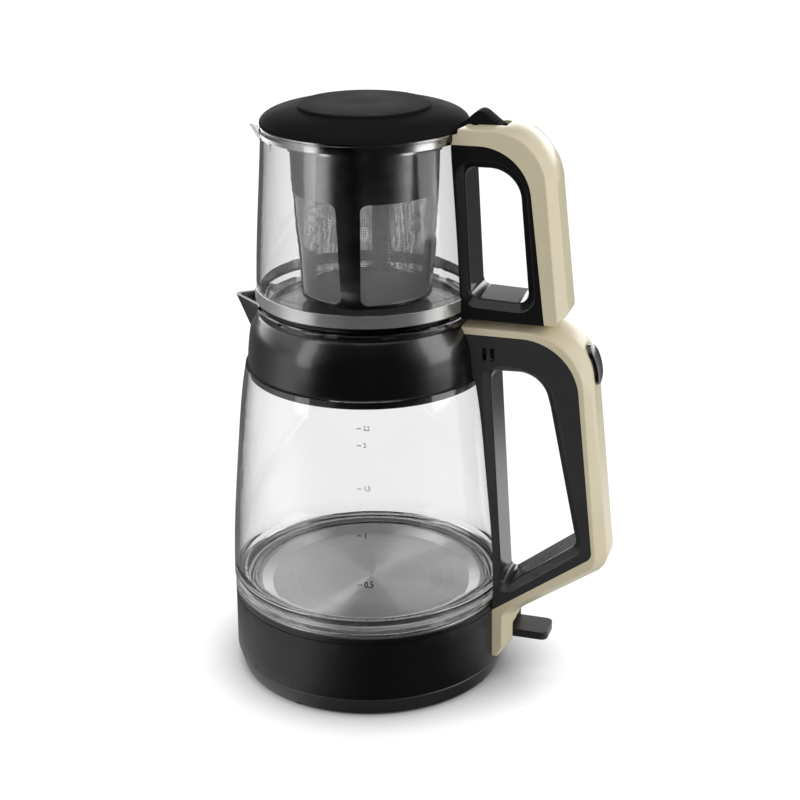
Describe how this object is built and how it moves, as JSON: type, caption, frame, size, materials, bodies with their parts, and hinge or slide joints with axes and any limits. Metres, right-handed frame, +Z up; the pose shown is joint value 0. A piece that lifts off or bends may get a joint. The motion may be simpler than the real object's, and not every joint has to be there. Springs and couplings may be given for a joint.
{
  "type": "automatic tea maker",
  "caption": "Glass kettle on a cordless power base with a glass teapot and infuser stacked on top, each with its own handle.",
  "frame": {"origin": "centre of the round power base on the table", "axes": "+Z up along the axis of both vessels, +X towards the handles, -X towards the spouts"},
  "size_m": [0.2338, 0.1688, 0.3502],
  "materials": {
    "black_plastic": "gloss",
    "dark_plastic": "satin",
    "cream_plastic": "gloss",
    "button_face": "gloss",
    "steel": "brushed",
    "aluminium": "satin",
    "contact_metal": "satin",
    "rubber": "matte",
    "kettle_glass": "clear",
    "teapot_glass": "clear"
  },
  "bodies": {
    "power_base": {"base_shell": "black_plastic", "base_bottom_plate": "black_plastic", "base_feet": "rubber", "base_screws": "steel", "base_connector": "dark_plastic", "connector_contacts": "contact_metal"},
    "kettle": {"base_ring": "black_plastic", "bottom_cover": "black_plastic", "bottom_screws": "steel", "heater_plate": "steel", "plate_seal": "rubber", "heat_spreader": "aluminium", "heating_element": "steel", "kettle_control": "dark_plastic", "kettle_connector": "dark_plastic", "control_contacts": "contact_metal", "kettle_glass": "kettle_glass", "collar_seal": "rubber", "kettle_collar": "black_plastic", "handle_frame": "dark_plastic", "handle_shell": "cream_plastic", "handle_screws": "steel", "shell_screw": "steel", "screw_cap": "cream_plastic", "switch_pin": "steel", "button_switch": "dark_plastic", "control_board": "dark_plastic", "sound_buzzer": "dark_plastic"},
    "switch": {"switch_lever": "dark_plastic"},
    "button": {"mode_button": "button_face"},
    "kettle_lid": {"steam_ring": "black_plastic", "steam_ring_pad": "rubber"},
    "teapot": {"teapot_glass": "teapot_glass", "teapot_band": "steel", "teapot_handle_frame": "dark_plastic", "teapot_handle_shell": "cream_plastic", "teapot_handle_screw": "steel"},
    "infuser": {"infuser_rim": "steel", "infuser_frame": "steel", "infuser_mesh": "steel", "infuser_base_mesh": "steel"},
    "lid": {"teapot_lid": "black_plastic", "lid_disc": "black_plastic", "lid_lever": "dark_plastic", "lid_hinge_pin": "steel"}
  },
  "joints": [
    {"name": "kettle_lift", "type": "slide", "parent": "power_base", "child": "kettle", "axis": [0, 0, 1], "range_m": [0, 0.06]},
    {"name": "switch_tilt", "type": "hinge", "parent": "kettle", "child": "switch", "pos_m": [0.078, 0, 0.0306], "axis": [0, 1, 0], "range_deg": [0, 7]},
    {"name": "button_press", "type": "slide", "parent": "kettle", "child": "button", "axis": [-0.9659, 0, -0.2588], "range_m": [0, 0.0012], "stiffness_N_per_m": 500},
    {"name": "steam_ring_lift", "type": "slide", "parent": "kettle", "child": "kettle_lid", "axis": [0, 0, 1], "range_m": [0, 0.05]},
    {"name": "teapot_lift", "type": "slide", "parent": "kettle_lid", "child": "teapot", "axis": [0, 0, 1], "range_m": [0, 0.08]},
    {"name": "infuser_lift", "type": "slide", "parent": "teapot", "child": "infuser", "axis": [0, 0, 1], "range_m": [0, 0.11]},
    {"name": "lid_open", "type": "hinge", "parent": "infuser", "child": "lid", "pos_m": [0.0665, 0, 0.3336], "axis": [0, 1, 0], "range_deg": [0, 55]}
  ]
}
